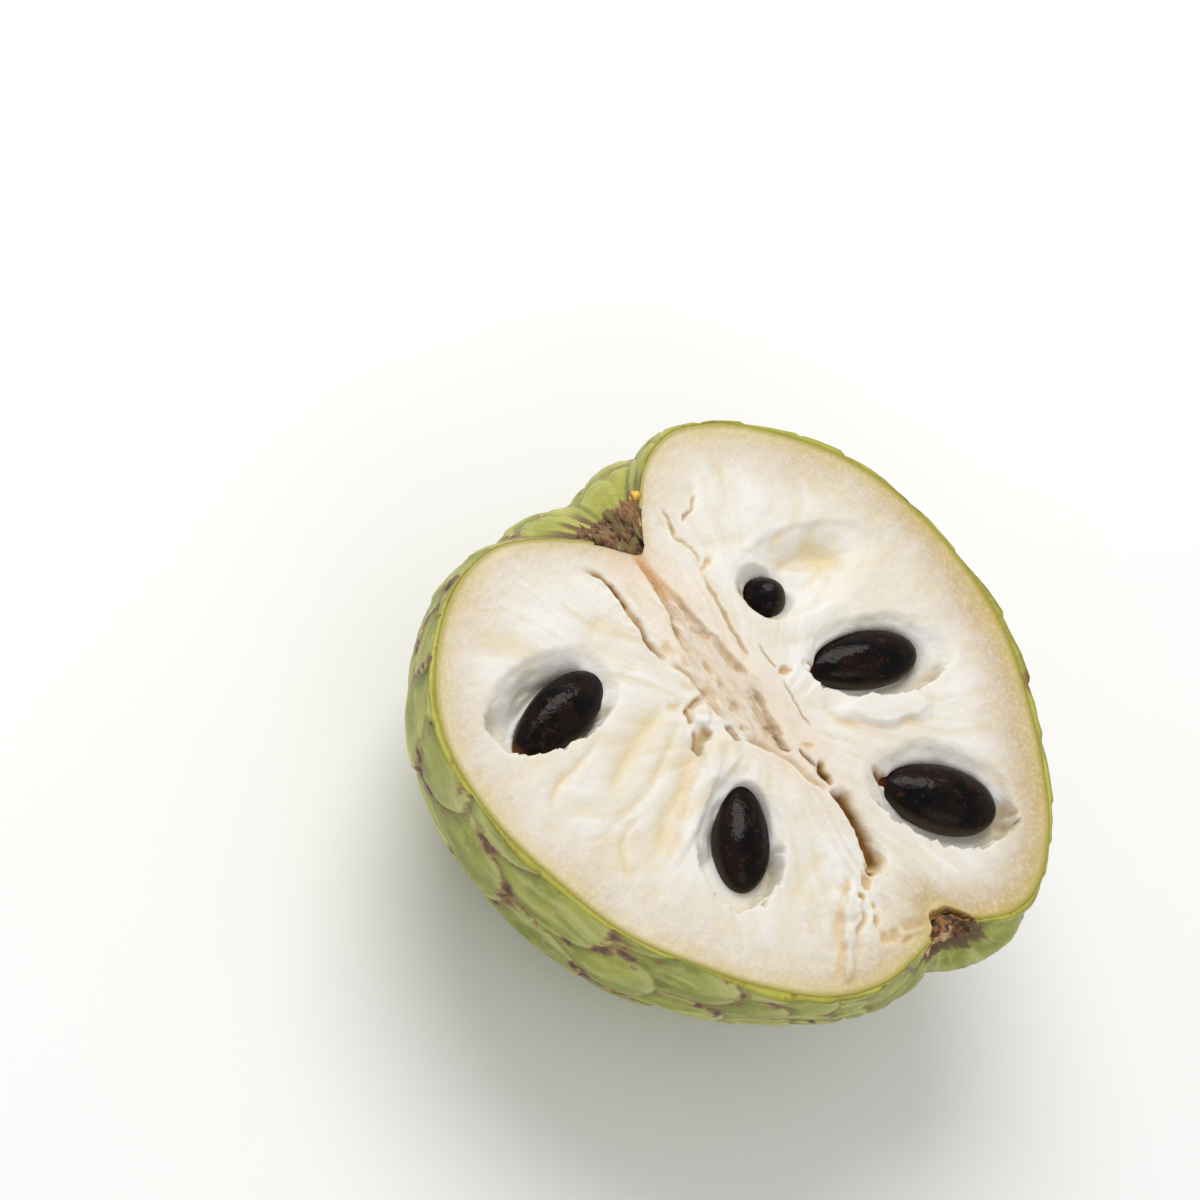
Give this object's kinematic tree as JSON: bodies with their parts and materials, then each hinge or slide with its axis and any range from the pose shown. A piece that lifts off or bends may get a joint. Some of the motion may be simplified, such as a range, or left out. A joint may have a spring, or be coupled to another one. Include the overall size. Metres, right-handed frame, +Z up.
{
  "type": "halved custard apple",
  "caption": "Halved custard apple lying on its rounded back, with scaly green rind, creamy cut flesh, fibrous core and glossy dark seeds in hollows.",
  "frame": {"origin": "on the surface the half rests on, under the middle of its bounding box", "axes": "+X along the core from the stem dimple to the blossom end, +Y across the cut face, +Z up, square to the cut face"},
  "size_m": [0.1004, 0.1006, 0.0482],
  "materials": {
    "rind": "matte waxy green skin with brown scale edges",
    "flesh": "moist creamy pulp",
    "seed": "glossy near-black seed coat"
  },
  "bodies": {
    "root": {"rind": "rind", "flesh": "flesh", "seed_1": "seed", "seed_2": "seed", "seed_3": "seed", "seed_4": "seed", "seed_5": "seed"}
  },
  "joints": []
}
